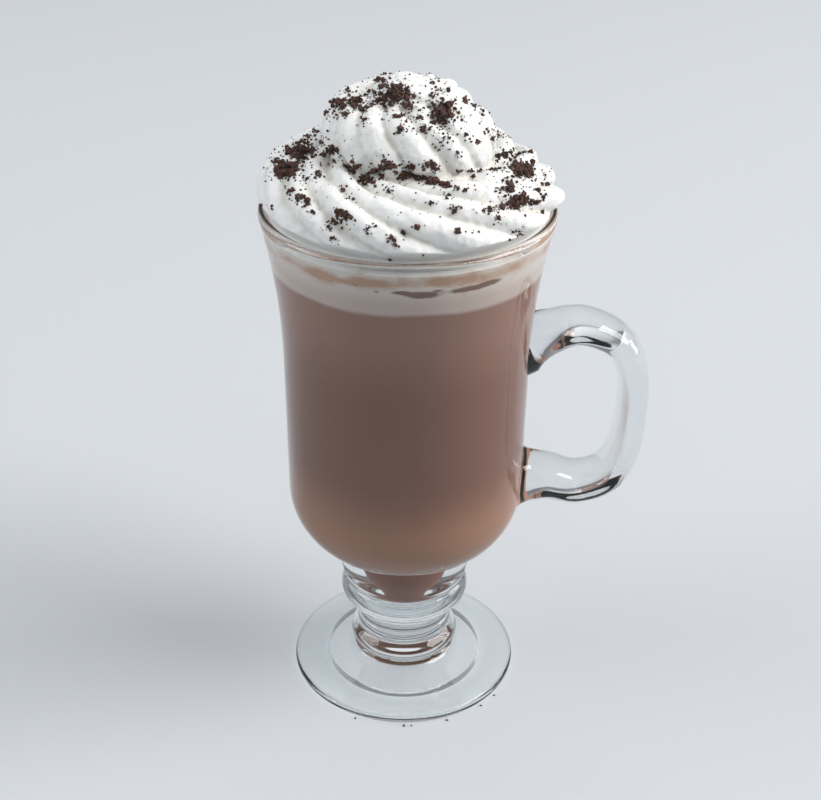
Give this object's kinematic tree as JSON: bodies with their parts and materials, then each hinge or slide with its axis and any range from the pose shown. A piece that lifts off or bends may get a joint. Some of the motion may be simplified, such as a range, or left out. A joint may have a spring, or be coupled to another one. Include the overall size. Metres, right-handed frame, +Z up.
{
  "type": "iced macchiato",
  "caption": "Milky coffee in a footed glass mug with a side handle, under pale milk foam and a piped swirl of whipped cream with dark cookie crumbs.",
  "frame": {"origin": "on the surface that the foot rests on, under the middle of the object's outline box", "axes": "+Z up along the mug's axis, +X towards the handle, +Y away from the viewer"},
  "size_m": [0.1036, 0.076, 0.178],
  "materials": {
    "glass": "clear, polished",
    "coffee": "opaque milky drink",
    "foam": "fine wet foam",
    "cream": "soft satin",
    "crumbs": "dry, rough"
  },
  "bodies": {
    "root": {"glass_mug": "glass", "drink": "coffee", "milk_foam": "foam", "whipped_cream": "cream"}
  },
  "joints": []
}
